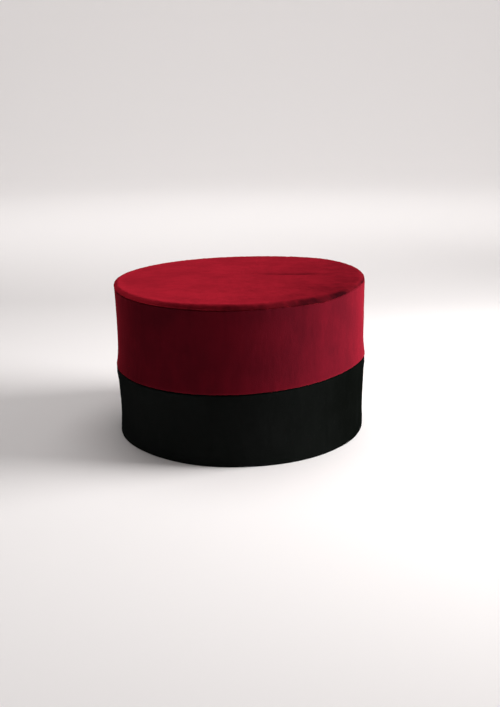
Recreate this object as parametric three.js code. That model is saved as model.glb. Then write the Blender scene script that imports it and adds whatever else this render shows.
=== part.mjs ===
// A pillbox hat: an oval red velvet crown, made of a flat tip and a side wall, over a black velvet head band.
// Millimetres. The front of the hat is towards -Y, +X is across the head and +Z is up. The origin lies on the
// surface that the hat rests on, below the middle of its oval.
import * as THREE from "three";

// Driving sizes
const HAT_LENGTH = 205; // front to back, at the groove below the tip
const HAT_WIDTH = 176.3; // side to side, at the same height
const BAND_HEIGHT = 49.5; // black band, from its base to the red wall's folded edge, at the hat's middle
const WALL_HEIGHT = 53; // red wall, from its folded edge to the groove
const LIP_HEIGHT = 3.2; // rolled edge of the tip, from the groove to the top
const TIP_CLOTH = 2.4; // covered plate of the tip
const WALL_CLOTH = 2.4; // covered side wall, which is also the thickness of its folded edge
const BAND_CLOTH = 2.4; // covered head band
const LIP_WIDTH = 3.8; // how far in the tip's edge rests on the wall
const TIP_ROLL = 3.4; // how far in the edge of the tip begins to roll over
const TIP_DISH = 1; // how far the middle of the top lies below its edge
const WALL_WAIST = 1.36; // how far the wall draws in between its folded edge and the groove
const BAND_DRAW = 2.2; // how far the band draws in below the red wall
const GROOVE_ROUND = 1.1; // rounding of the two edges that meet in the groove
const SHOULDER = 1.5; // how far below the folded edge the band begins to turn in
const LAP = 10; // how far the band runs up behind the red wall
const HEM_ROUND = 0.5; // rounding of the band's base, outside and inside
const CLEARANCE = 0.3; // between two pieces that are sewn together

// Fineness of the meshes
const STEPS_ROUND = 96;
const STEPS_IN_QUARTER = 3;

// The level lines that run round the hat. None is quite level on the worn cloth. `rise` is how much a line climbs
// towards +X and `nod` towards the back, as shares of the way gone, and `saddle` is how far it stands up at the
// sides and hangs at front and back, as a share of half the hat's length.
const LINES = {
  base: { height: 0, rise: 0, nod: 0, saddle: 0 },
  seam: { height: BAND_HEIGHT, rise: 0.031, nod: 0.004, saddle: 0.012 },
  groove: { height: BAND_HEIGHT + WALL_HEIGHT, rise: 0.012, nod: -0.005, saddle: 0.01 },
  top: { height: BAND_HEIGHT + WALL_HEIGHT + LIP_HEIGHT, rise: 0.013, nod: -0.007, saddle: 0.008 },
};

// The red wall's outer face: `up` is a share of the way from the seam to the groove, `inset` of WALL_WAIST
const WALL_FACE = [
  { up: 0.0, inset: 0.0 },
  { up: 0.09, inset: 0.45 },
  { up: 0.25, inset: 1.0 },
  { up: 0.6, inset: 0.85 },
  { up: 0.85, inset: 0.45 },
  { up: 1.0, inset: 0.2 },
];

// The black band's outer face: `up` is a share of the way from the base to the seam, `inset` of BAND_DRAW
const BAND_FACE = [
  { up: 0.0, inset: 0.88 },
  { up: 0.35, inset: 1.0 },
  { up: 0.7, inset: 0.55 },
  { up: 1.0, inset: 0.5 },
];

// The top's surface: `out` is a share of the way from the middle to the roll, `dip` of TIP_DISH
const TOP_FACE = [
  { out: 0.0, dip: 1.0 },
  { out: 0.4, dip: 0.85 },
  { out: 0.75, dip: 0.4 },
  { out: 1.0, dip: 0.0 },
];

// Height of a level line above the base, over the point x, y
function lineHeight(line, x, y) {
  const half = HAT_LENGTH / 2;
  return line.height + line.rise * x + line.nod * y + (line.saddle * (x * x - y * y)) / half;
}

// A point of a section: `share` of the way from level line `low` to `high`, and `up` above that. It lies `out` of
// the way from the middle to an oval that is `inset` inside the outline.
function sectionPoint({ inset, low, high = low, share = 0, up = 0, out = 1 }) {
  return { inset, low: LINES[low], high: LINES[high], share, up, out };
}

// Where the point of a section lies at one step round the oval
function place(point, step) {
  const angle = (2 * Math.PI * step) / STEPS_ROUND;
  const x = point.out * (HAT_WIDTH / 2 - point.inset) * Math.cos(angle);
  const y = point.out * (HAT_LENGTH / 2 - point.inset) * Math.sin(angle);
  const z = THREE.MathUtils.lerp(lineHeight(point.low, x, y), lineHeight(point.high, x, y), point.share);
  return [x, y, z + point.up];
}

// One ring of places for each point of a section
function ringsOf(section) {
  const steps = Array.from({ length: STEPS_ROUND }, (_, step) => step);
  return section.flatMap((point) => steps.flatMap((step) => place(point, step)));
}

// Inset of a face at a share of its height, by straight lines between the rows of its table
function insetAt(face, depth, up) {
  const next = Math.max(1, face.findIndex((row) => row.up >= up));
  const [a, b] = [face[next - 1], face[next]];
  return depth * THREE.MathUtils.mapLinear(up, a.up, b.up, a.inset, b.inset);
}
const wallInset = (up) => insetAt(WALL_FACE, WALL_WAIST, up);
const bandInset = (up) => insetAt(BAND_FACE, BAND_DRAW, up);

// Height shares from low to high, with the rows of a face's table that lie between them
function heightsOf(face, low, high) {
  return [low, ...face.map((row) => row.up).filter((up) => up > low && up < high), high];
}

// The sines and cosines of a quarter turn that starts at an angle counted in quarters
function quarterTurn(first) {
  return Array.from({ length: STEPS_IN_QUARTER + 1 }, (_, i) => {
    const angle = ((first + i / STEPS_IN_QUARTER) * Math.PI) / 2;
    return { cos: Math.cos(angle), sin: Math.sin(angle) };
  });
}

// The faces between two rings, whose first vertices have the given numbers
function facesBetween(lower, upper) {
  const faces = [];
  for (let step = 0; step < STEPS_ROUND; step++) {
    const next = (step + 1) % STEPS_ROUND;
    faces.push(lower + step, lower + next, upper + next);
    faces.push(lower + step, upper + next, upper + step);
  }
  return faces;
}

function geometryOf(places, faces) {
  const geometry = new THREE.BufferGeometry();
  geometry.setAttribute("position", new THREE.Float32BufferAttribute(places, 3));
  geometry.setIndex(faces);
  geometry.computeVertexNormals();
  return geometry;
}

// A closed ring: its section runs up the outer face, in over the top, down the inner face and out along the bottom
function ringGeometry(section) {
  const faces = section.flatMap((_, row) =>
    facesBetween(row * STEPS_ROUND, ((row + 1) % section.length) * STEPS_ROUND),
  );
  return geometryOf(ringsOf(section), faces);
}

// A closed plate: its section runs from the middle of its underside outwards, up the edge and in to the middle of
// its top
function plateGeometry(section) {
  const rings = section.slice(1, -1);
  const topRing = (rings.length - 1) * STEPS_ROUND;
  const below = rings.length * STEPS_ROUND;
  const above = below + 1;
  const faces = [];
  for (let ring = 0; ring < topRing; ring += STEPS_ROUND) {
    faces.push(...facesBetween(ring, ring + STEPS_ROUND));
  }
  for (let step = 0; step < STEPS_ROUND; step++) {
    const next = (step + 1) % STEPS_ROUND;
    faces.push(below, next, step);
    faces.push(above, topRing + step, topRing + next);
  }
  return geometryOf([...ringsOf(rings), ...place(section[0], 0), ...place(section.at(-1), 0)], faces);
}

// The red side wall. Its lower edge is a round fold of the cloth, and its upper edge is rounded into the groove.
function crownWallGeometry() {
  const fold = WALL_CLOTH / 2;
  const edge = CLEARANCE / 2;
  const heights = heightsOf(WALL_FACE, fold / WALL_HEIGHT, 1 - (edge + GROOVE_ROUND) / WALL_HEIGHT);
  const faceAt = (inset, up) => sectionPoint({ inset, low: "seam", high: "groove", share: up });
  const lowest = wallInset(heights[0]);
  const highest = wallInset(heights.at(-1));
  const foldArc = [...quarterTurn(2), ...quarterTurn(3).slice(1)].map(({ cos, sin }) =>
    sectionPoint({ inset: lowest + fold * (1 - cos), low: "seam", up: fold * (1 + sin) }),
  );
  const grooveArc = quarterTurn(0).map(({ cos, sin }) =>
    sectionPoint({
      inset: highest + GROOVE_ROUND * (1 - cos),
      low: "groove",
      up: -edge - GROOVE_ROUND * (1 - sin),
    }),
  );
  return ringGeometry([
    ...foldArc,
    ...heights.slice(1, -1).map((up) => faceAt(wallInset(up), up)),
    ...grooveArc,
    sectionPoint({ inset: highest + WALL_CLOTH, low: "groove", up: -edge }),
    ...heights.slice(1).toReversed().map((up) => faceAt(wallInset(up) + WALL_CLOTH, up)),
  ]);
}

// The black head band. Above its shoulder it runs up behind the red wall, a clearance inside it.
function headBandGeometry() {
  const behindWall = (up) => wallInset(up) + WALL_CLOTH + CLEARANCE;
  const faceHeights = heightsOf(BAND_FACE, HEM_ROUND / BAND_HEIGHT, 1 - SHOULDER / BAND_HEIGHT);
  const lapHeights = heightsOf(WALL_FACE, WALL_CLOTH / WALL_HEIGHT, LAP / WALL_HEIGHT);
  const faceAt = (inset, up) => sectionPoint({ inset, low: "base", high: "seam", share: up });
  const lapAt = (inset, up) => sectionPoint({ inset, low: "seam", high: "groove", share: up });
  const shoulder = bandInset(faceHeights.at(-1));
  const tuck = behindWall(lapHeights[0]) - shoulder;
  const shoulderArc = quarterTurn(0).map(({ cos, sin }) =>
    sectionPoint({
      inset: shoulder + tuck * (1 - cos),
      low: "seam",
      up: -SHOULDER + (SHOULDER - CLEARANCE) * sin,
    }),
  );
  const base = bandInset(0);
  return ringGeometry([
    ...faceHeights.slice(0, -1).map((up) => faceAt(bandInset(up), up)),
    ...shoulderArc,
    ...lapHeights.map((up) => lapAt(behindWall(up), up)),
    ...lapHeights.toReversed().map((up) => lapAt(behindWall(up) + BAND_CLOTH, up)),
    ...faceHeights.slice(0, -1).toReversed().map((up) => faceAt(bandInset(up) + BAND_CLOTH, up)),
    sectionPoint({ inset: base + BAND_CLOTH - HEM_ROUND, low: "base" }),
    sectionPoint({ inset: base + HEM_ROUND, low: "base" }),
  ]);
}

// The tip: a thin oval plate, a little dished, whose edge rolls down to the groove
function crownTipGeometry() {
  const rim = wallInset(1);
  const edge = CLEARANCE / 2;
  const surface = (inset, down) =>
    TOP_FACE.map((row) => sectionPoint({ inset, low: "top", up: -down - TIP_DISH * row.dip, out: row.out }));
  const grooveArc = quarterTurn(-1).map(({ cos, sin }) =>
    sectionPoint({ inset: rim + GROOVE_ROUND * (1 - cos), low: "groove", up: edge + GROOVE_ROUND * (1 + sin) }),
  );
  const roll = quarterTurn(0)
    .slice(1)
    .map(({ cos, sin }) =>
      sectionPoint({
        inset: rim + TIP_ROLL * (1 - cos),
        low: "groove",
        high: "top",
        share: sin,
        up: (edge + GROOVE_ROUND) * (1 - sin),
      }),
    );
  return plateGeometry([
    ...surface(rim + LIP_WIDTH, TIP_CLOTH),
    sectionPoint({ inset: rim + LIP_WIDTH, low: "groove", up: edge }),
    ...grooveArc,
    ...roll,
    ...surface(rim + TIP_ROLL, 0).slice(0, -1).toReversed(),
  ]);
}

function velvet(color) {
  return new THREE.MeshStandardMaterial({ color, roughness: 0.95, metalness: 0 });
}

function namedMesh(name, geometry, material) {
  const mesh = new THREE.Mesh(geometry, material);
  mesh.name = name;
  return mesh;
}

const hat = new THREE.Group();
hat.add(namedMesh("crown_tip", crownTipGeometry(), velvet("#94192a")));
hat.add(namedMesh("crown_wall", crownWallGeometry(), velvet("#5c0e16")));
hat.add(namedMesh("head_band", headBandGeometry(), velvet("#121413")));

export default hat;
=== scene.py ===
"""A tall pillbox hat of red and black velvet.

An oval crown of two red velvet pieces, the flat tip and the side wall, stands over a black velvet
head band. Each piece starts as the section of its cloth, is spun once round and is then seated on the
hat's oval, so that all three share its lean and its hand-made unevenness. Metres, +Z up, the front of
the hat towards -Y.
"""

import logging
import math
from collections.abc import Iterable
from dataclasses import dataclass, field
from enum import Enum
from typing import ClassVar

import bmesh
import bpy
from mathutils import Matrix, Vector, noise

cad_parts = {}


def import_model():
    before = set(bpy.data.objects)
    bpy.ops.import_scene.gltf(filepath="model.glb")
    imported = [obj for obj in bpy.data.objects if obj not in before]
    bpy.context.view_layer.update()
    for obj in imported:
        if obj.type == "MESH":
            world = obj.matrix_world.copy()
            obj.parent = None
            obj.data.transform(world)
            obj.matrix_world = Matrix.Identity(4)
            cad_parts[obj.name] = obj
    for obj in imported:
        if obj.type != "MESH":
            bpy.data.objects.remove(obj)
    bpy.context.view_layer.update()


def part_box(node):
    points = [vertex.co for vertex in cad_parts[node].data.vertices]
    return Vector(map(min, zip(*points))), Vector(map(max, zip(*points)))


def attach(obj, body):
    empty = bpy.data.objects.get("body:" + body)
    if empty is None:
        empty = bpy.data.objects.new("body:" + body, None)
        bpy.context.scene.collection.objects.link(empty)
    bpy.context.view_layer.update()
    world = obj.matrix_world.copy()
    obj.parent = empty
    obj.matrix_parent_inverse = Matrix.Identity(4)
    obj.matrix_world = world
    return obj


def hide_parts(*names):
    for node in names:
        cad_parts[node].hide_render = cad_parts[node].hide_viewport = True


MM = 0.001
BODY = "root"
# Where a pucker has died away, as a share of its reach
PUCKER_END = 2.5
# Points closer than this are one point
WELD = 0.001 * MM
# A wave texture's bands repeat every tenth of pi, over its scale
WAVE_REPEAT = math.pi / 10
Part = bmesh.types.BMVert | bmesh.types.BMEdge
Table = list[tuple[float, float]]
log = logging.getLogger("pillbox_hat")


class Cloth(Enum):
    """Which side of the cloth a face shows; the value is the face's material number."""

    PILE = 0
    BACKING = 1


def srgb(code: str) -> tuple[float, float, float, float]:
    """Turns an sRGB hex colour into a linear one.

    Args:
        code: Six hex digits, with or without a leading hash mark.

    Returns:
        Red, green, blue and an alpha of 1, in linear light.
    """
    digits = code.lstrip("#")
    parts = [int(digits[i : i + 2], 16) / 255 for i in (0, 2, 4)]
    linear = [c / 12.92 if c <= 0.04045 else ((c + 0.055) / 1.055) ** 2.4 for c in parts]
    return (*linear, 1.0)


def add_node(
    tree: bpy.types.NodeTree, kind: str, inputs: dict[str | int, object] | None = None, **settings: object
) -> bpy.types.Node:
    """Adds a node with its settings and links.

    Args:
        tree: Node tree that gets the node.
        kind: Blender's name of the node type.
        inputs: For each input, by name or number, a value or the socket that feeds it.
        **settings: Attributes of the node, set before its inputs.

    Returns:
        The new node.
    """
    node = tree.nodes.new(kind)
    for name, value in settings.items():
        setattr(node, name, value)
    for name, value in (inputs or {}).items():
        if isinstance(value, bpy.types.NodeSocket):
            tree.links.new(value, node.inputs[name])
        else:
            node.inputs[name].default_value = value
    return node


def per_metre(size_mm: float) -> float:
    """Returns the texture scale that gives features of the stated size in millimetres."""
    return 1 / (size_mm * MM)


def new_material(name: str) -> tuple[bpy.types.Material, bpy.types.NodeTree]:
    """Makes a material whose node tree is still empty.

    Args:
        name: The material's name.

    Returns:
        The material and its node tree.
    """
    material = bpy.data.materials.new(name)
    material.use_nodes = True
    material.node_tree.nodes.clear()
    return material, material.node_tree


def mesh_object(name: str, bm: bmesh.types.BMesh) -> bpy.types.Object:
    """Turns a finished shape into an object of the scene, at the origin.

    Args:
        name: Name of the object and of its mesh.
        bm: The shape, which is freed.

    Returns:
        The object.
    """
    mesh = bpy.data.meshes.new(name)
    bm.to_mesh(mesh)
    bm.free()
    made = bpy.data.objects.new(name, mesh)
    bpy.context.scene.collection.objects.link(made)
    return made


def spin(bm: bmesh.types.BMesh, parts: list[Part], angle: float, steps: int, full: bool) -> None:
    """Spins vertices and edges round the upright axis.

    Args:
        bm: Shape that holds them.
        parts: The vertices and edges.
        angle: How far they turn, in radians.
        steps: Number of steps in the turn.
        full: Whether the last step meets the first.
    """
    bmesh.ops.spin(
        bm,
        geom=parts,
        cent=(0, 0, 0),
        axis=(0, 0, 1),
        dvec=(0, 0, 0),
        angle=angle,
        space=Matrix.Identity(4),
        steps=steps,
        use_merge=full,
        use_normal_flip=False,
        use_duplicate=False,
    )


@dataclass(frozen=True)
class Velvet:
    """Woven cut-pile velvet, brushed one way.

    It is dark face on, where the light falls in between the threads of the pile, and lit where the pile is
    seen aslant, with cloudy marks where hands have laid it over. `shade` and `lit` are the colours at the
    two ends of the pieces' nap attribute, which holds the pile's own marks and also painted light and
    painted shade, and `sheen` is its bloom. The tufts are drawn about twice as coarse as real ones, so that
    they show.
    """

    # The vertex attribute of how dark or bright the pile is drawn: its own marks and also painted light and
    # shade
    NAP_AND_PAINTED_LIGHT: ClassVar[str] = "nap"
    name: str
    shade: str
    lit: str
    sheen: str
    sheen_weight: float
    sheen_roughness: float
    mottle: float
    mottle_range: tuple[float, float] = (0.36, 0.64)
    cloud_mm: float = 26.0
    streak_mm: float = 7.0
    streak_stretch: float = 0.22
    streak_share: float = 0.4
    tuft_mm: float = 0.9
    cloud_relief: float = 0.35 * MM
    streak_relief: float = 0.07 * MM
    tuft_relief: float = 0.1 * MM

    def material(self) -> bpy.types.Material:
        """Builds the velvet's node material.

        Returns:
            The material, whose patterns follow Object coordinates at real sizes.
        """
        material, tree = new_material(self.name)
        place = add_node(tree, "ShaderNodeTexCoord").outputs["Object"]
        stretch = {"Vector": place, "Scale": (1.0, 1.0, self.streak_stretch)}
        upright = add_node(tree, "ShaderNodeMapping", stretch).outputs["Vector"]
        clouds, streaks, tufts = (
            add_node(
                tree,
                "ShaderNodeTexNoise",
                {"Vector": where, "Scale": per_metre(size), "Detail": detail, "Roughness": roughness},
            ).outputs["Fac"]
            for where, size, detail, roughness in (
                (place, self.cloud_mm, 4.0, 0.55),
                (upright, self.streak_mm, 3.0, 0.6),
                (place, self.tuft_mm, 2.0, 0.7),
            )
        )
        colour = add_node(
            tree,
            "ShaderNodeMix",
            {0: self.lay(tree, clouds, streaks), 6: srgb(self.shade), 7: srgb(self.lit)},
            data_type="RGBA",
        )
        depths = zip((clouds, streaks, tufts), (self.cloud_relief, self.streak_relief, self.tuft_relief))
        shader = add_node(
            tree,
            "ShaderNodeBsdfPrincipled",
            {
                "Base Color": colour.outputs[2],
                "Normal": self.relief(tree, depths),
                "Roughness": 0.9,
                "Specular IOR Level": 0.0,
                "Sheen Weight": self.sheen_weight,
                "Sheen Roughness": self.sheen_roughness,
                "Sheen Tint": srgb(self.sheen),
            },
        )
        add_node(tree, "ShaderNodeOutputMaterial", {"Surface": shader.outputs["BSDF"]})
        return material

    def lay(
        self, tree: bpy.types.NodeTree, clouds: bpy.types.NodeSocket, streaks: bpy.types.NodeSocket
    ) -> bpy.types.NodeSocket:
        """Mottles the nap attribute noted at the vertices, painted light and shade included, with clouds and
        streaks.

        Args:
            tree: Node tree of the material.
            clouds: Pattern of wide soft marks.
            streaks: Pattern of fine upright marks.

        Returns:
            How dark or bright the pile is drawn, from 0 to 1, painted light and painted shade included.
        """
        both = add_node(
            tree, "ShaderNodeMix", {0: self.streak_share, 2: clouds, 3: streaks}, data_type="FLOAT"
        )
        low, high = self.mottle_range
        mottled = add_node(
            tree,
            "ShaderNodeMapRange",
            {
                "Value": both.outputs[0],
                "From Min": low,
                "From Max": high,
                "To Min": -self.mottle / 2,
                "To Max": self.mottle / 2,
            },
            interpolation_type="SMOOTHSTEP",
        )
        # The attribute carries painted light and painted shade besides the pile's own marks
        nap = add_node(tree, "ShaderNodeAttribute", attribute_name=self.NAP_AND_PAINTED_LIGHT)
        lies = add_node(
            tree,
            "ShaderNodeMath",
            {0: nap.outputs["Fac"], 1: mottled.outputs["Result"]},
            operation="ADD",
            use_clamp=True,
        )
        return lies.outputs[0]

    def relief(
        self, tree: bpy.types.NodeTree, depths: Iterable[tuple[bpy.types.NodeSocket, float]]
    ) -> bpy.types.NodeSocket:
        """Lays the patterns' relief over one another.

        Args:
            tree: Node tree of the material.
            depths: Each pattern and how deep it is, in metres.

        Returns:
            The normal of the relief.
        """
        inputs = {"Strength": 1.0}
        for pattern, depth in depths:
            bump = add_node(tree, "ShaderNodeBump", {**inputs, "Distance": depth, "Height": pattern})
            inputs["Normal"] = bump.outputs["Normal"]
        return inputs["Normal"]


@dataclass(frozen=True)
class BackingCloth:
    """Plain-woven cotton, the wrong side of the velvet: matte, its warp and weft standing out evenly.

    The threads are drawn about twice as coarse as real ones, so that the weave shows.
    """

    name: str
    warp: str
    weft: str
    thread_mm: float = 0.9
    relief: float = 0.12 * MM

    def material(self) -> bpy.types.Material:
        """Builds the weave from two crossed waves on the piece's own UV map, which is in metres.

        Returns:
            The material.
        """
        material, tree = new_material(self.name)
        place = add_node(tree, "ShaderNodeUVMap", uv_map=Spun.THREAD_MAP).outputs["UV"]
        scale = per_metre(self.thread_mm) * WAVE_REPEAT
        threads = [
            add_node(
                tree,
                "ShaderNodeTexWave",
                {"Vector": place, "Scale": scale, "Distortion": 0.6, "Detail Scale": 0.2},
                bands_direction=direction,
            )
            for direction in ("X", "Y")
        ]
        height = add_node(
            tree,
            "ShaderNodeMath",
            {0: threads[0].outputs["Fac"], 1: threads[1].outputs["Fac"]},
            operation="MULTIPLY",
        )
        relief = add_node(
            tree,
            "ShaderNodeBump",
            {"Strength": 0.8, "Distance": self.relief, "Height": height.outputs[0]},
        )
        colour = add_node(
            tree,
            "ShaderNodeMix",
            {0: threads[0].outputs["Fac"], 6: srgb(self.warp), 7: srgb(self.weft)},
            data_type="RGBA",
        )
        shader = add_node(
            tree,
            "ShaderNodeBsdfPrincipled",
            {
                "Base Color": colour.outputs[2],
                "Normal": relief.outputs["Normal"],
                "Roughness": 0.95,
                "Specular IOR Level": 0.2,
            },
        )
        add_node(tree, "ShaderNodeOutputMaterial", {"Surface": shader.outputs["BSDF"]})
        return material


@dataclass(frozen=True)
class StudioPaper:
    """Seamless paper, pressed matte and rolled out as one pale sweep, which shows only soft shade."""

    name: str = "Seamless paper, pressed matte"
    colour: str = "#EAE6E5"

    def material(self) -> bpy.types.Material:
        """Builds the paper's material.

        Returns:
            The material.
        """
        material, tree = new_material(self.name)
        shader = add_node(
            tree,
            "ShaderNodeBsdfPrincipled",
            {"Base Color": srgb(self.colour), "Roughness": 0.9, "Specular IOR Level": 0.1},
        )
        add_node(tree, "ShaderNodeOutputMaterial", {"Surface": shader.outputs["BSDF"]})
        return material


@dataclass(frozen=True)
class NapAndPaintedLightMark:
    """A soft patch that draws the pile lighter or darker: some are marks in its nap, others painted light
    and painted shade.

    Its middle and reaches are in millimetres on the cloth: across and along the hat on the tip, round from
    the front's middle and up from the base on the sides. `turn` is in degrees.
    """

    at: tuple[float, float]
    reach: tuple[float, float]
    lay: float
    turn: float = 0.0

    def felt_at(self, u: float, v: float) -> float:
        """Works out what the patch does to the cloth at a point.

        Args:
            u: Where the point lies across the hat or round it, in millimetres.
            v: Where it lies along the hat or up its side.

        Returns:
            How much brighter, or below zero how much darker, the cloth is there.
        """
        du, dv = u - self.at[0], v - self.at[1]
        c, s = math.cos(math.radians(self.turn)), math.sin(math.radians(self.turn))
        along, across = (du * c + dv * s) / self.reach[0], (dv * c - du * s) / self.reach[1]
        return self.lay * math.exp(-(along**2 + across**2))


def eased_step(low: float, high: float, at: float) -> float:
    """Returns 0 up to `low`, 1 from `high` on and a smooth climb between them."""
    share = min(max((at - low) / (high - low), 0.0), 1.0)
    return share * share * (3 - 2 * share)


def angle_between(first: float, second: float) -> float:
    """Returns the angle in radians from the second direction to the first, by the shorter way round."""
    return (first - second + math.pi) % math.tau - math.pi


@dataclass(frozen=True)
class PullAndShade:
    """A place on a line round the hat where the stitches draw the cloth out of true, or on the tip's roll
    where painted shade lies.

    Its angle and half width are in degrees, counted from +X towards the back, and `by` is how far the cloth
    is drawn there, or how deep the painted shade is.
    """

    angle: float
    width: float
    by: float

    def felt_at(self, angle: float) -> float:
        """Returns how far the cloth is drawn, or how deep the painted shade is, at an angle in radians."""
        away = angle_between(angle, math.radians(self.angle)) / math.radians(self.width)
        return self.by * math.exp(-(away**2))


@dataclass(frozen=True)
class Bulge:
    """A place where the cloth stands out, or below zero draws in.

    Its angle and half width are in degrees, counted from +X towards the back. Its height and its reach up
    and down are in metres, and so is `by`, how far out the cloth stands.
    """

    angle: float
    width: float
    height: float
    reach: float
    by: float

    def felt_at(self, angle: float, height: float) -> float:
        """Works out how far the cloth stands out at a place.

        Args:
            angle: Angle of the place in radians.
            height: Height of the place.

        Returns:
            How far out the cloth stands there.
        """
        away = angle_between(angle, math.radians(self.angle)) / math.radians(self.width)
        above = (height - self.height) / self.reach
        return self.by * math.exp(-(away**2) - above**2)


@dataclass(frozen=True)
class LevelLine:
    """A line that runs round the hat, which is never quite level on handled cloth.

    `rise` is how much it climbs towards +X and `nod` towards the back, as shares of the way gone. `saddle`
    is how far it stands up at the sides and hangs at front and back, as a share of half the hat's length.
    The pulls draw it up, or below zero down, and fade towards the middle by the power `fade`.
    """

    height: float
    rise: float = 0.0
    nod: float = 0.0
    saddle: float = 0.0
    pulls: tuple[PullAndShade, ...] = ()
    fade: int = 4

    def lift(self, x: float, y: float, half_length: float) -> float:
        """Works out how far the line lies above its own height.

        Args:
            x: Where the point lies across the hat.
            y: Where it lies along the hat.
            half_length: Half the hat's length.

        Returns:
            The lift over that point.
        """
        even = self.rise * x + self.nod * y + self.saddle * (x * x - y * y) / half_length
        if not self.pulls:
            return even
        angle, out = math.atan2(y, x), math.hypot(x, y) / half_length
        return even + min(out, 1.0) ** self.fade * sum(pull.felt_at(angle) for pull in self.pulls)


@dataclass
class HatForm:
    """The form that the cloth is made up on: an oval with leaning level lines and a hand-made unevenness.

    Pieces are first made round and level, with the outline at `half_length` from the axis, and `seat` then
    moves each of their points to where it lies on the hat.
    """

    BULGES: ClassVar[tuple[Bulge, ...]] = (
        Bulge(-22, 52, 10 * MM, 32 * MM, 0.95 * MM),
        Bulge(-85, 45, 0.0, 14 * MM, 1.6 * MM),
        Bulge(-150, 16, 0.0, 9 * MM, 0.5 * MM),
        Bulge(0, 24, 45 * MM, 4.5 * MM, 0.6 * MM),
        Bulge(180, 24, 45 * MM, 5.0 * MM, 1.2 * MM),
        Bulge(0, 40, 76 * MM, 20 * MM, 0.45 * MM),
        Bulge(180, 30, 106 * MM, 3.5 * MM, 0.8 * MM),
        Bulge(0, 30, 106 * MM, 2.5 * MM, -0.5 * MM),
    )
    half_length: float
    half_width: float
    # Heights of the two sewn lines and of the roll's top
    seam: float = 49.0 * MM
    groove: float = 102.5 * MM
    top: float = 105.7 * MM
    # How far the wall's waist and the band draw in from the oval
    wall_waist: float = 1.05 * MM
    band_draw: float = 2.2 * MM
    # Past this inset a plate shrinks evenly towards its middle
    flat_from: float = 12.0 * MM
    # How far the waves all over and the puckers along the stitches stand out
    wobble: float = 0.35 * MM
    pucker: float = 0.13 * MM
    pucker_reach: float = 4.0 * MM
    puckers_round: int = 71
    # The slow and quick waves: how fine they are round the hat, and over what height they change
    slow_round: float = 2.1
    slow_up: float = 55 * MM
    quick_round: float = 6.5
    quick_up: float = 30 * MM
    quick_share: float = 0.45
    lines: list[LevelLine] = field(init=False)

    def __post_init__(self) -> None:
        """Sets the level lines, from the base to the top."""
        self.lines = [
            LevelLine(0.0),
            LevelLine(
                self.seam,
                rise=0.031,
                nod=0.004,
                saddle=0.008,
                pulls=(PullAndShade(0, 15, -2.6 * MM), PullAndShade(180, 16, -2.8 * MM)),
            ),
            LevelLine(
                self.groove,
                rise=0.012,
                nod=-0.005,
                saddle=0.010,
                pulls=(PullAndShade(-20, 13, 0.65 * MM), PullAndShade(-50, 13, -1.9 * MM)),
            ),
            LevelLine(
                self.top,
                rise=0.014,
                nod=-0.005,
                saddle=0.008,
                pulls=(
                    PullAndShade(-92, 14, 0.5 * MM),
                    PullAndShade(-42, 20, -2.2 * MM),
                    PullAndShade(-12, 22, -0.8 * MM),
                    PullAndShade(46, 24, 1.2 * MM),
                ),
            ),
        ]

    @classmethod
    def from_frame(cls) -> "HatForm":
        """Returns the form whose oval is that of the frame's side wall."""
        low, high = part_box("crown_wall")
        return cls(half_length=(high[1] - low[1]) / 2, half_width=(high[0] - low[0]) / 2)

    def lift(self, height: float, x: float, y: float) -> float:
        """Works out how far a point made at a level height is lifted where it lies.

        Args:
            height: The height at which the point was made.
            x: Where the point lies across the hat.
            y: Where the point lies along the hat.

        Returns:
            The lift, blended between the two level lines that enclose the height.
        """
        lifts = [line.lift(x, y, self.half_length) for line in self.lines]
        for i, (below, above) in enumerate(zip(self.lines, self.lines[1:])):
            if height <= above.height:
                share = max(0.0, (height - below.height) / (above.height - below.height))
                return lifts[i] + (lifts[i + 1] - lifts[i]) * share
        return lifts[-1]

    def unevenness(self, angle: float, height: float) -> float:
        """Works out how far the cloth stands out of the true oval.

        Slow waves run all over it and short puckers along the two sewn lines. The offsets in the noise only
        keep the patterns from looking alike.

        Args:
            angle: Angle of the place in radians.
            height: Height of the place.

        Returns:
            How far out the cloth stands there.
        """
        turn = Vector((math.cos(angle), math.sin(angle), 0.0))
        slow = noise.noise(turn * self.slow_round + Vector((0, 0, height / self.slow_up)))
        quick = noise.noise(turn * self.quick_round + Vector((7.0, 3.0, height / self.quick_up)))
        waves = self.wobble * (slow + self.quick_share * quick)
        sewn = 0.0
        for line in (self.seam, self.groove):
            away = (height - line) / self.pucker_reach
            if abs(away) < PUCKER_END:
                stitches = turn * self.puckers_round / math.tau * 2
                stitch = noise.noise(stitches + Vector((0, 11.0, line * 100)))
                sewn += self.pucker * stitch * math.exp(-(away**2))
        return waves + sewn + sum(bulge.felt_at(angle, height) for bulge in self.BULGES)

    def seat(self, point: Vector) -> Vector:
        """Moves a point of the round, level hat to where it lies on the real one.

        Args:
            point: A point of the round hat.

        Returns:
            The point on the oval, leaning hat.
        """
        angle = math.atan2(point.y, point.x)
        out = math.hypot(point.x, point.y)
        inset = self.half_length - out
        stand = self.unevenness(angle, point.z)
        edge = min(inset, self.flat_from)
        share = 1.0 if inset <= self.flat_from else out / (self.half_length - self.flat_from)
        x = share * (self.half_width - edge + stand) * math.cos(angle)
        y = share * (self.half_length - edge + stand) * math.sin(angle)
        return Vector((x, y, point.z + self.lift(point.z, x, y)))


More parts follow.
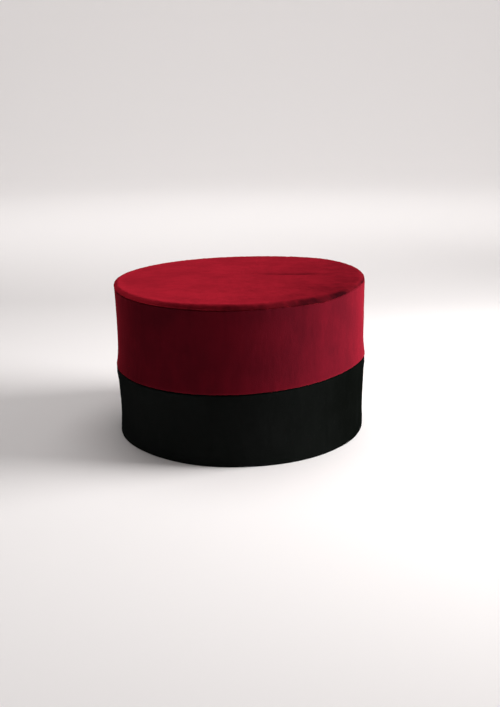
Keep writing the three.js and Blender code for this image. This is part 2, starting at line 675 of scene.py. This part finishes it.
@dataclass
class Section:
    """The section of a piece of cloth: points of distance inside the outline and height, in metres."""

    points: Table = field(default_factory=list)

    def to(self, *points: tuple[float, float]) -> "Section":
        """Adds points and returns the section."""
        self.points.extend(points)
        return self

    def arc(
        self,
        centre: tuple[float, float],
        radii: tuple[float, float],
        quarters: tuple[float, float],
        steps: int = 6,
    ) -> "Section":
        """Adds an arc of an oval, whose angles count from outwards through up.

        Args:
            centre: Middle of the oval, as inset and height.
            radii: Its reach outwards and upwards.
            quarters: First and last angle, in quarter turns.
            steps: Number of stretches in the arc.

        Returns:
            The section.
        """
        first, last = quarters
        for i in range(steps + 1):
            angle = (first + (last - first) * i / steps) * math.pi / 2
            inset = centre[0] - radii[0] * math.cos(angle)
            self.points.append((inset, centre[1] + radii[1] * math.sin(angle)))
        return self

    def face(
        self,
        table: Table,
        depth: float,
        span: tuple[float, float],
        ends: tuple[float, float],
        steps: int,
        back: float = 0.0,
    ) -> "Section":
        """Adds a stretch of a face whose inset follows a table.

        Args:
            table: Rows of height share and inset share.
            depth: What the inset shares are shares of.
            span: Heights at which the shares are 0 and 1.
            ends: First and last height of the stretch.
            steps: Number of stretches.
            back: How far inside the face the points lie.

        Returns:
            The section.
        """
        for i in range(steps + 1):
            height = ends[0] + (ends[1] - ends[0]) * i / steps
            share = (height - span[0]) / (span[1] - span[0])
            self.points.append((eased(table, share) * depth + back, height))
        return self


def eased(table: Table, at: float) -> float:
    """Reads a table of two columns, running smoothly from row to row.

    Args:
        table: Rows of position and value, by rising position.
        at: Position to read.

    Returns:
        The value there, by a curve that passes through the rows.
    """
    last = len(table) - 1
    i = next((k for k in range(last) if at <= table[k + 1][0]), last - 1)
    (x0, y0), (x1, y1) = table[i], table[i + 1]
    before, after = table[max(i - 1, 0)], table[min(i + 2, last)]
    start = (y1 - before[1]) / (x1 - before[0]) * (x1 - x0)
    end = (after[1] - y0) / (after[0] - x0) * (x1 - x0)
    t = min(max((at - x0) / (x1 - x0), 0.0), 1.0)
    return (
        y0 * (2 * t**3 - 3 * t**2 + 1)
        + start * (t**3 - 2 * t**2 + t)
        + y1 * (3 * t**2 - 2 * t**3)
        + end * (t**3 - t**2)
    )


@dataclass
class Spun:
    """A piece of cloth that is spun from its section and seated on the hat's form.

    `nap` is how its pile lies where nothing has touched it, from 0, dark, to 1, bright. The edges of the
    marks, nap marks and painted light and shade alike, wander by `wander` over stretches of `drift`, both in
    millimetres.
    """

    THREAD_MAP: ClassVar[str] = "threads"
    MARKS: ClassVar[tuple[NapAndPaintedLightMark, ...]] = ()
    # How squarely a face has to look away to show the backing, or up to be a flat one
    AWAY: ClassVar[float] = 0.5
    FLAT: ClassVar[float] = 0.7
    form: HatForm
    name: str
    node: str
    slot: str
    steps_round: int = 720
    sectors: int = 12
    nap: float = 0.5
    wander: float = 5.0
    drift: float = 17.0
    pile_relief: float = 0.1 * MM
    edge_relief: float = 0.3 * MM
    pile_grain: float = 2.6 * MM
    # Heights between which the pile's relief sets in, so that the base stays flat
    pile_starts: tuple[float, float] = (0.5 * MM, 2.0 * MM)

    def section(self) -> Section:
        """Returns the piece's section."""
        raise NotImplementedError

    def closes_on_axis(self) -> bool:
        """Says whether the section ends on the axis, as a plate's does, and doesn't close on itself."""
        return False

    def shows_backing(self, face: bmesh.types.BMFace) -> bool:
        """Says whether a face is on the wrong side of the cloth, which looks towards the axis."""
        centre = face.calc_center_median()
        return face.normal.dot(Vector((centre.x, centre.y, 0)).normalized()) < -self.AWAY

    def finish_shape(self, bm: bmesh.types.BMesh) -> None:
        """Adds the piece's own dents after it is seated, if it has some."""

    def near_edge(self, place: Vector) -> float:
        """Returns how much a point of the finished piece belongs to a sewn or folded edge, from 0 to 1."""
        return 0.0

    def raise_pile(self, bm: bmesh.types.BMesh) -> None:
        """Gives the right side of the cloth the soft relief of its pile, ragged along its edges.

        Args:
            bm: The seated piece.
        """
        bm.normal_update()
        for vert in bm.verts:
            if any(face.material_index == Cloth.BACKING.value for face in vert.link_faces):
                continue
            depth = self.pile_relief + (self.edge_relief - self.pile_relief) * self.near_edge(vert.co)
            grounded = eased_step(*self.pile_starts, vert.co.z)
            vert.co += vert.normal * (depth * grounded * noise.noise(vert.co / self.pile_grain))

    def cloth_point(self, place: Vector) -> tuple[float, float]:
        """Returns where a point lies on the cloth of the side: millimetres round from the front and up."""
        turn = math.atan2(place.x, -place.y)
        return turn * (self.form.half_length + self.form.half_width) / 2 / MM, place.z / MM

    def lay_nap_and_painted_light(self, bm: bmesh.types.BMesh) -> None:
        """Notes at each vertex how dark or bright the pile is drawn, from 0 to 1: its marks, some of them
        painted light and shade, and the painted light and shade along its edges.

        Args:
            bm: The seated piece.
        """
        layer = bm.verts.layers.float.new(Velvet.NAP_AND_PAINTED_LIGHT)
        for vert in bm.verts:
            u, v = self.cloth_point(vert.co)
            # The second reading is taken well away from the first, so that the two don't go together
            drift = Vector((u, v, 0)) / self.drift
            u += self.wander * noise.noise(drift)
            v += self.wander * noise.noise(drift + Vector((0, 0, 9.0)))
            marks = sum(mark.felt_at(u, v) for mark in self.MARKS)
            vert[layer] = min(max(self.nap + marks + self.painted_edge_light(vert.co), 0.0), 1.0)

    def painted_edge_light(self, place: Vector) -> float:
        """Returns the painted light, above zero, or the painted shade, below zero, at a point near an edge.
        """
        return 0.0

    def build(self) -> bpy.types.Object:
        """Builds the piece.

        Returns:
            The object, smooth, with its thread map and the faces' sides of the cloth set.
        """
        bm = bmesh.new()
        self.spin_section(bm)
        self.map_threads(bm)
        for face in bm.faces:
            face.material_index = (Cloth.BACKING if self.shows_backing(face) else Cloth.PILE).value
            face.smooth = True
        for vert in bm.verts:
            vert.co = self.form.seat(vert.co)
        self.finish_shape(bm)
        self.raise_pile(bm)
        self.lay_nap_and_painted_light(bm)
        piece = mesh_object(self.name, bm)
        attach(piece, BODY)
        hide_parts(self.node)
        return piece

    def spin_section(self, bm: bmesh.types.BMesh) -> None:
        """Spins the section through one sector and turns copies of it round the axis until they meet.

        That is far quicker than a full turn.

        Args:
            bm: Empty shape that gets the piece.
        """
        reach, sector = self.form.half_length, math.tau / self.sectors
        verts = [bm.verts.new((reach - inset, 0.0, height)) for inset, height in self.section().points]
        pairs = list(zip(verts, verts[1:]))
        if not self.closes_on_axis():
            pairs.append((verts[-1], verts[0]))
        edges = [bm.edges.new(pair) for pair in pairs]
        spin(bm, verts + edges, sector, self.steps_round // self.sectors, full=False)
        first = bm.verts[:] + bm.edges[:] + bm.faces[:]
        for i in range(1, self.sectors):
            copy = bmesh.ops.duplicate(bm, geom=first)["geom"]
            moved = [part for part in copy if isinstance(part, bmesh.types.BMVert)]
            turn = Matrix.Rotation(sector * i, 3, "Z")
            bmesh.ops.rotate(bm, verts=moved, cent=(0, 0, 0), matrix=turn)
        bmesh.ops.remove_doubles(bm, verts=bm.verts, dist=WELD)
        bmesh.ops.recalc_face_normals(bm, faces=bm.faces)

    def map_threads(self, bm: bmesh.types.BMesh) -> None:
        """Lays a UV map in metres along the cloth: round the hat and up its side, or flat over the top.

        Args:
            bm: The spun piece.
        """
        layer = bm.loops.layers.uv.new(self.THREAD_MAP)
        for face in bm.faces:
            flat = abs(face.normal.z) > self.FLAT
            middle = math.atan2(face.calc_center_median().y, face.calc_center_median().x)
            for loop in face.loops:
                x, y, z = loop.vert.co
                turn = math.atan2(y, x)
                turn += math.tau * round((middle - turn) / math.tau)
                loop[layer].uv = (x, y) if flat else (turn * self.form.half_length, z)

    def dress(
        self, piece: bpy.types.Object, pile: bpy.types.Material, backing: bpy.types.Material
    ) -> None:
        """Gives the piece its velvet outside and its backing inside.

        Args:
            piece: The built object.
            pile: Material of the right side of the cloth.
            backing: Material of the wrong side.
        """
        piece.data.materials.append(pile)
        piece.data.materials.append(backing)


@dataclass
class CrownWall(Spun):
    """The red side wall, from its folded lower edge up to the groove below the tip."""

    # Share of the way from the seam to the groove, and inset as a share of the waist
    FACE: ClassVar[Table] = [(0.0, 0.0), (0.09, 0.45), (0.25, 1.0), (0.6, 0.85), (0.85, 0.45), (1.0, 0.2)]
    MARKS: ClassVar[tuple[NapAndPaintedLightMark, ...]] = (
        NapAndPaintedLightMark((-60, 92), (26, 14), -0.10, 10),
        NapAndPaintedLightMark((-30, 64), (22, 12), 0.05),
        NapAndPaintedLightMark((4, 76), (14, 42), 0.16),
        NapAndPaintedLightMark((22, 52), (30, 7), 0.18),
        NapAndPaintedLightMark((75, 66), (7, 5), -0.10),
        NapAndPaintedLightMark((48, 88), (9, 7), -0.05),
        NapAndPaintedLightMark((63, 85), (11, 10), 0.12),
        # Painted light on the right, where the wall turns aslant to the side light
        NapAndPaintedLightMark((130, 76), (22, 50), 0.22),
    )
    cloth: float = 2.4 * MM
    groove_round: float = 0.65 * MM
    ease: float = 0.1 * MM
    edge_relief: float = 0.14 * MM
    edge_fades: tuple[float, float] = (1.0 * MM, 3.0 * MM)
    # Painted highlight along the fold's lower edge, and the heights over which it fades
    fold_painted_highlight: float = 0.12
    fold_highlight_fades: tuple[float, float] = (0.8 * MM, 3.0 * MM)

    def above_fold(self, place: Vector) -> float:
        """Returns how far a point lies above the fold's lowest line."""
        return place.z - self.form.seam - self.form.lift(self.form.seam, place.x, place.y)

    def below_groove(self, place: Vector) -> float:
        """Returns how far a point lies below the groove."""
        return self.form.groove + self.form.lift(self.form.groove, place.x, place.y) - place.z

    def near_edge(self, place: Vector) -> float:
        """Returns how close a point is to the fold or the groove."""
        return 1 - eased_step(*self.edge_fades, min(self.above_fold(place), self.below_groove(place)))

    def painted_edge_light(self, place: Vector) -> float:
        """Returns the painted highlight along the fold's lower edge."""
        return self.fold_painted_highlight * (1 - eased_step(*self.fold_highlight_fades, self.above_fold(place)))

    def inset(self, height: float) -> float:
        """Returns how far the wall's face lies inside the outline at a height."""
        form = self.form
        return form.wall_waist * eased(self.FACE, (height - form.seam) / (form.groove - form.seam))

    def section(self) -> Section:
        """Draws the wall's section.

        Returns:
            A round fold, the face, the groove's edge, the top and the inner face.
        """
        form, fold, edge = self.form, self.cloth / 2, self.groove_round
        low, high = form.seam + fold, form.groove - self.ease - edge
        span = (form.seam, form.groove)
        grooved = self.inset(high)
        outline = Section()
        outline.arc((self.inset(low) + fold, low), (fold, fold), (-2, 0), steps=10)
        outline.face(self.FACE, form.wall_waist, span, (low + fold, high - edge), steps=20)
        outline.arc((grooved + edge, high), (edge, edge), (0, 1), steps=5)
        outline.to((grooved + self.cloth, high + edge))
        outline.face(self.FACE, form.wall_waist, span, (high - edge, low + fold), 12, back=self.cloth)
        return outline


@dataclass
class HeadBand(Spun):
    """The black band, from its base up past a tucked shoulder to where it ends behind the red wall."""

    # Share of the way from the base to the seam, and inset as a share of how far the band draws in
    FACE: ClassVar[Table] = [(0.0, 0.88), (0.35, 1.0), (0.7, 0.55), (1.0, 0.3)]
    # Painted shade on the right, where the side light falls, and painted light on the left, which even the
    # black out from side to side
    MARKS: ClassVar[tuple[NapAndPaintedLightMark, ...]] = (
        NapAndPaintedLightMark((112, 25), (75, 90), -0.55),
        NapAndPaintedLightMark((-92, 25), (62, 90), 0.42),
    )
    wall: CrownWall | None = None
    cloth: float = 2.4 * MM
    gap: float = 0.25 * MM
    shoulder: float = 1.5 * MM
    lap: float = 10.0 * MM
    hem_round: float = 0.5 * MM
    hem_height: float = 12.0 * MM
    hem_step: float = 0.7 * MM

    def section(self) -> Section:
        """Draws the band's section.

        Returns:
            The face, the shoulder, the lap behind the wall, the inner face and the hem.
        """
        form, wall = self.form, self.wall
        span, wall_span = (0.0, form.seam), (form.seam, form.groove)
        turn = form.seam - self.shoulder
        behind = wall.cloth + self.gap
        tuck_low, lap_top = form.seam + wall.cloth, form.seam + self.lap
        shoulder = form.band_draw * eased(self.FACE, turn / form.seam)
        depth = wall.inset(tuck_low) + behind - shoulder
        base = form.band_draw * self.FACE[0][1]
        hem_round, hem_top, hem = (self.hem_round,) * 2, self.hem_height, self.cloth + self.hem_step
        outline = Section()
        outline.arc((base + self.hem_round, self.hem_round), hem_round, (-1, 0), steps=4)
        outline.face(self.FACE, form.band_draw, span, (2 * self.hem_round, turn - MM), steps=18)
        outline.arc((shoulder + depth, turn), (depth, self.shoulder - self.gap), (0, 1), steps=6)
        for ends, back in (((tuck_low, lap_top), behind), ((lap_top, tuck_low), behind + self.cloth)):
            outline.face(wall.FACE, form.wall_waist, wall_span, ends, 4, back)
        for ends, steps, back in (
            ((turn - 2 * MM, hem_top + self.hem_round), 8, self.cloth),
            ((hem_top - self.hem_round, 2 * self.hem_round), 5, hem),
        ):
            outline.face(self.FACE, form.band_draw, span, ends, steps, back)
        outline.arc((base + hem - self.hem_round, self.hem_round), hem_round, (-2, -1), steps=4)
        return outline

    def shows_backing(self, face: bmesh.types.BMFace) -> bool:
        """Says whether a face shows the backing: the inner ones above the hem, whose pile is turned in."""
        return super().shows_backing(face) and face.calc_center_median().z > self.hem_height


@dataclass
class CrownTip(Spun):
    """The red tip: a thin plate, a little dished, whose soft edge rolls down to the groove."""

    # Share of the way from the middle to the roll, and how far the top dips there as a share of its dish
    TOP: ClassVar[Table] = [(0.0, 1.0), (0.4, 0.85), (0.75, 0.4), (1.0, 0.0)]
    # Ends of a crease pressed into the pile of the top
    CREASE: ClassVar[tuple[Vector, Vector]] = (Vector((0 * MM, 18 * MM, 0)), Vector((54 * MM, 6 * MM, 0)))
    # Painted shade on the roll, towards the front and on the right
    ROLL_PAINTED_SHADE: ClassVar[tuple[PullAndShade, ...]] = (PullAndShade(-88, 32, 0.32), PullAndShade(-13, 14, 0.24))
    # Where painted shade takes the place of the roll's painted light, round the right front, from 0 to 1
    PAINTED_SHADE_SPAN: ClassVar[PullAndShade] = PullAndShade(-54, 22, 1.0)
    # Soft patches on the top: painted shade over the right and the right front, painted light at the front
    # left, darker towards the back edge, a darker line along the crease that is partly pressed pile and
    # partly painted shade, and two faint dark patches
    MARKS: ClassVar[tuple[NapAndPaintedLightMark, ...]] = (
        NapAndPaintedLightMark((82, 10), (50, 80), -0.27),
        NapAndPaintedLightMark((60, -62), (36, 22), -0.22, 54),
        NapAndPaintedLightMark((-45, -60), (42, 30), 0.10, -35),
        NapAndPaintedLightMark((33, 12), (25, 5), -0.18, -12),
        NapAndPaintedLightMark((22, 55), (20, 55), -0.05),
        NapAndPaintedLightMark((10, 104), (60, 16), -0.10),
        NapAndPaintedLightMark((12, -62), (12, 30), -0.05),
    )
    rim: float = 0.27 * MM
    cloth: float = 2.4 * MM
    lip_width: float = 3.8 * MM
    roll: float = 3.4 * MM
    groove_round: float = 0.65 * MM
    ease: float = 0.1 * MM
    dish: float = 1.0 * MM
    # How much closer the rings of the top lie together towards its edge
    crowding: float = 1.25
    swell: float = 0.3 * MM
    swell_reach: float = 45 * MM
    # How quickly the swells set in from the edge
    swell_rise: float = 4.0
    # Where the pile that is turned in at the edge ends on the underside
    turned_in: float = 2 * MM
    crease_width: float = 3.0 * MM
    crease_depth: float = 0.35 * MM
    edge_relief: float = 0.2 * MM
    edge_fades: tuple[float, float] = (2.5 * MM, 6.0 * MM)
    # A painted highlight on a ridge just inside the roll, which dies away across the hat
    ridge_painted_highlight: float = 0.12
    ridge_at: float = 4 * MM
    ridge_reach: float = 3 * MM
    ridge_dies: tuple[float, float] = (0.2, 0.9)
    # Painted light on the roll itself, on the left only, and painted shade round the right front where the
    # tip meets the wall
    roll_painted_light: float = 0.27
    roll_dies: tuple[float, float] = (-0.9, -0.25)
    roll_reach: float = 2.5 * MM
    painted_shade: float = 0.24
    painted_shade_reach: float = 8 * MM

    def inside_edge(self, place: Vector) -> float:
        """Returns about how far a point lies inside the tip's outline."""
        out = math.hypot(place.x / self.form.half_width, place.y / self.form.half_length)
        return (1 - out) * (self.form.half_length + self.form.half_width) / 2

    def near_edge(self, place: Vector) -> float:
        """Returns how close a point is to the rolled edge."""
        return 1 - eased_step(*self.edge_fades, self.inside_edge(place))

    def painted_edge_light(self, place: Vector) -> float:
        """Works out the painted light and shade along the rolled edge.

        Args:
            place: A point of the seated tip.

        Returns:
            The painted highlight on the ridge and painted light on the roll's left, less the painted shade
            of the roll, blended round the right front into painted shade.
        """
        inside, angle = self.inside_edge(place), math.atan2(place.y, place.x)
        shaded = self.PAINTED_SHADE_SPAN.felt_at(angle)
        across = place.x / self.form.half_width
        ridge = math.exp(-(((inside - self.ridge_at) / self.ridge_reach) ** 2))
        ridge *= self.ridge_painted_highlight * (1 - eased_step(*self.ridge_dies, across))
        roll = self.roll_painted_light * (1 - eased_step(*self.roll_dies, across))
        roll -= sum(dull.felt_at(angle) for dull in self.ROLL_PAINTED_SHADE)
        glow = ridge + roll * (1 - eased_step(0.0, self.roll_reach, inside))
        shade = self.painted_shade * (1 - eased_step(0.0, self.painted_shade_reach, inside))
        return glow * (1 - shaded) - shade * shaded

    def closes_on_axis(self) -> bool:
        """Says that the plate's section ends on the axis."""
        return True

    def cloth_point(self, place: Vector) -> tuple[float, float]:
        """Returns where a point lies on the tip's cloth: millimetres across and along the hat."""
        return place.x / MM, place.y / MM

    def surface(self, edge: float, down: float, steps: int) -> Table:
        """Returns points of the top or underside, from the middle outwards.

        Args:
            edge: Inset of the outermost point.
            down: How far the surface lies below the top.
            steps: Number of stretches.

        Returns:
            Points of inset and height.
        """
        reach = self.form.half_length
        points = []
        for i in range(steps + 1):
            out = 1 - (1 - i / steps) ** self.crowding
            height = self.form.top - down - self.dish * eased(self.TOP, out)
            points.append((reach - out * (reach - edge), height))
        return points

    def section(self) -> Section:
        """Draws the tip's section.

        Returns:
            The underside, the lip, the rolled edge and the top.
        """
        form, edge = self.form, self.groove_round
        bottom = form.groove + self.ease
        corner = bottom + edge
        outline = Section(self.surface(self.rim + self.lip_width, self.cloth, steps=20))
        outline.to((self.rim + self.lip_width, bottom), (self.rim + 2 * edge, bottom))
        outline.arc((self.rim + edge, corner), (edge, edge), (-1, 0), steps=5)
        outline.arc((self.rim + self.roll, corner), (self.roll, form.top - corner), (0, 1), steps=9)
        outline.to(*reversed(self.surface(self.rim + self.roll + MM, 0.0, steps=40)))
        return outline

    def shows_backing(self, face: bmesh.types.BMFace) -> bool:
        """Says whether a face shows the backing, as the underside's do away from the edge.

        Args:
            face: A face of the spun tip.

        Returns:
            Whether it does.
        """
        centre = face.calc_center_median()
        out = math.hypot(centre.x, centre.y)
        return face.normal.z < -self.AWAY and out < self.form.half_length - self.turned_in

    def finish_shape(self, bm: bmesh.types.BMesh) -> None:
        """Gives the plate its slow swells and the crease pressed into its top.

        Args:
            bm: The seated tip.
        """
        start, end = self.CREASE
        along = end - start
        for vert in bm.verts:
            flat = Vector((vert.co.x, vert.co.y, 0))
            margin = 1 - (flat.x / self.form.half_width) ** 2 - (flat.y / self.form.half_length) ** 2
            free = min(max(margin * self.swell_rise, 0.0), 1.0)
            vert.co.z += self.swell * free * noise.noise(flat / self.swell_reach + Vector((0, 0, 4.0)))
            if vert.normal.z < 0:
                continue
            share = min(max((flat - start).dot(along) / along.length_squared, 0.0), 1.0)
            away = (flat - start - along * share).length / self.crease_width
            ends = math.sin(math.pi * share) ** 0.5 if 0 < share < 1 else 0.0
            vert.co.z -= self.crease_depth * ends * math.exp(-(away**2))


@dataclass
class SoftBox:
    """A soft studio light: a lit panel that faces the hat."""

    name: str
    azimuth: float
    elevation: float
    distance: float
    size: tuple[float, float]
    watts: float
    colour: str = "#FFFFFF"
    spread: float = 180
    aim: Vector | None = None

    def build(self, target: Vector) -> bpy.types.Object:
        """Sets the light up.

        Args:
            target: What the panel faces.

        Returns:
            The light.
        """
        light = bpy.data.lights.new(self.name, "AREA")
        light.shape = "RECTANGLE"
        light.size, light.size_y = self.size
        light.energy = self.watts
        light.color = srgb(self.colour)[:3]
        light.spread = math.radians(self.spread)
        panel = bpy.data.objects.new(self.name, light)
        panel.location = target + self.distance * direction(self.azimuth, self.elevation)
        gaze = (self.aim or target) - panel.location
        panel.rotation_euler = gaze.to_track_quat("-Z", "Y").to_euler()
        panel.visible_camera = False
        bpy.context.scene.collection.objects.link(panel)
        return panel


def direction(azimuth: float, elevation: float) -> Vector:
    """Returns the way from the hat to a viewer or light, by azimuth towards +X and elevation, in degrees."""
    a, e = math.radians(azimuth), math.radians(elevation)
    return Vector((math.sin(a) * math.cos(e), -math.cos(a) * math.cos(e), math.sin(e)))


@dataclass
class Studio:
    """The floor, the lights and the camera.

    The lens is given by its focal length and by where its axis meets the picture, both in the picture's
    pixels.
    """

    target: Vector = field(default_factory=lambda: Vector((0, 0, 62 * MM)))
    azimuth: float = 4.75
    elevation: float = 13.05
    distance: float = 800.2 * MM
    roll: float = 0.82
    focal_px: float = 1120.0
    principal_px: tuple[float, float] = (240.5, 336.8)
    picture_px: tuple[int, int] = (500, 707)
    sensor_mm: float = 36.0
    clip: tuple[float, float] = (0.02, 20.0)
    floor_radius: float = 3.2
    cove_radius: float = 1.4
    cove_height: float = 2.6
    inner_ring: float = 0.3
    cove_steps: int = 12
    floor_steps: int = 96
    ambient: float = 0.25

    def camera(self) -> bpy.types.Object:
        """Sets up the camera at the photograph's viewing angle.

        Returns:
            The camera.
        """
        lens = bpy.data.cameras.new("Camera")
        long_side = max(self.picture_px)
        lens.sensor_width = self.sensor_mm
        lens.lens = self.focal_px * self.sensor_mm / long_side
        lens.shift_x = (self.picture_px[0] / 2 - self.principal_px[0]) / long_side
        lens.shift_y = (self.principal_px[1] - self.picture_px[1] / 2) / long_side
        lens.clip_start, lens.clip_end = self.clip
        camera = bpy.data.objects.new("Camera", lens)
        back = direction(self.azimuth, self.elevation)
        camera.location = self.target + self.distance * back
        turn = (-back).to_track_quat("-Z", "Y").to_matrix()
        turn = turn @ Matrix.Rotation(math.radians(-self.roll), 3, "Z")
        camera.rotation_euler = turn.to_euler()
        bpy.context.scene.collection.objects.link(camera)
        bpy.context.scene.camera = camera
        return camera

    def sweep(self) -> bpy.types.Object:
        """Builds the pale floor, which curves up into a wall all round.

        Returns:
            The floor.
        """
        bm = bmesh.new()
        flat, curve = self.floor_radius - self.cove_radius, self.cove_radius
        points = [(0.0, 0.0), (flat * self.inner_ring, 0.0), (flat, 0.0)]
        for i in range(1, self.cove_steps + 1):
            angle = math.pi / 2 * i / self.cove_steps
            points.append((flat + curve * math.sin(angle), curve * (1 - math.cos(angle))))
        points.append((self.floor_radius, self.cove_height))
        verts = [bm.verts.new((x, 0.0, z)) for x, z in points]
        edges = [bm.edges.new(pair) for pair in zip(verts, verts[1:])]
        spin(bm, verts + edges, math.tau, self.floor_steps, full=True)
        bmesh.ops.remove_doubles(bm, verts=bm.verts, dist=WELD)
        bmesh.ops.recalc_face_normals(bm, faces=bm.faces)
        for face in bm.faces:
            face.smooth = True
        floor = mesh_object("Paper sweep", bm)
        floor.data.materials.append(StudioPaper().material())
        return floor

    def lights(self) -> list[bpy.types.Object]:
        """Sets the lights up.

        Returns:
            The soft boxes.
        """
        boxes = [
            SoftBox("Top light", azimuth=180, elevation=76, distance=1.15, size=(0.8, 0.8), watts=5.5),
            SoftBox(
                "Side light",
                azimuth=95,
                elevation=13,
                distance=0.9,
                size=(0.6, 0.46),
                watts=7.0,
                spread=90,
            ),
            SoftBox(
                "Backdrop light",
                azimuth=180,
                elevation=62,
                distance=1.4,
                size=(1.6, 0.6),
                watts=32.0,
                aim=Vector((0, 3.0, 0.9)),
            ),
        ]
        world = bpy.data.worlds.new("Room light")
        world.use_nodes = True
        background = world.node_tree.nodes["Background"]
        background.inputs["Color"].default_value = (1, 1, 1, 1)
        background.inputs["Strength"].default_value = self.ambient
        bpy.context.scene.world = world
        return [box.build(self.target) for box in boxes]

    def build(self) -> None:
        """Sets the whole studio up."""
        self.camera()
        self.sweep()
        self.lights()
        bpy.context.scene.view_settings.view_transform = "Standard"


# The tip's copy of the red velvet, brushed flat: its far brighter base colour is partly the pile's lay and
# partly painted light from above
LIT_TIP_VELVET = Velvet(
    name="Red cotton velvet, woven cut pile, brushed flat",
    shade="#210509",
    lit="#AA1F2E",
    sheen="#E02A40",
    sheen_weight=0.14,
    sheen_roughness=0.35,
    mottle=0.14,
)
# The wall's copy of the same velvet, brushed down: its darker base colour is partly the pile's lay and
# partly painted shade; it looks deep and dark face on and blooms where it turns towards the light
SHADED_WALL_VELVET = Velvet(
    name="Red cotton velvet, woven cut pile, brushed down",
    shade="#2E0A11",
    lit="#620F1B",
    sheen="#E03A4A",
    sheen_weight=0.48,
    sheen_roughness=0.35,
    mottle=0.2,
)
# Black pile swallows nearly all light and leaves the faintest grey bloom
BLACK_VELVET = Velvet(
    name="Black cotton velvet, woven cut pile, brushed",
    shade="#050605",
    lit="#1A1C1B",
    sheen="#1C1E1E",
    sheen_weight=0.06,
    sheen_roughness=0.4,
    mottle=0.1,
)
# The bare weave is flat and dull beside the pile
RED_BACKING = BackingCloth("Red cotton backing, plain woven", "#4A1218", "#611A22")
BLACK_BACKING = BackingCloth("Black cotton backing, plain woven", "#141415", "#1E1E20")


def build_hat() -> list[bpy.types.Object]:
    """Builds and dresses the hat.

    Returns:
        The pieces, from the top down.
    """
    form = HatForm.from_frame()
    wall = CrownWall(form, "Red_velvet_side_wall", "crown_wall", "red_velvet")
    tip = CrownTip(form, "Red_velvet_tip", "crown_tip", "red_velvet")
    band = HeadBand(form, "Velvet_head_band", "head_band", "black_velvet", wall=wall)
    red_backing, black_backing = RED_BACKING.material(), BLACK_BACKING.material()
    finishes = (
        (tip, LIT_TIP_VELVET.material(), red_backing),
        (wall, SHADED_WALL_VELVET.material(), red_backing),
        (band, BLACK_VELVET.material(), black_backing),
    )
    pieces = []
    for maker, pile, backing in finishes:
        piece = maker.build()
        maker.dress(piece, pile, backing)
        pieces.append(piece)
    return pieces


def main() -> None:
    """Builds the studio and the hat round the loaded frame and reports each piece's number of faces."""
    logging.basicConfig(level=logging.INFO, format="%(message)s")
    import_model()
    Studio().build()
    for piece in build_hat():
        log.info("%s: %d faces", piece.name, len(piece.data.polygons))


if __name__ == "__main__":
    main()
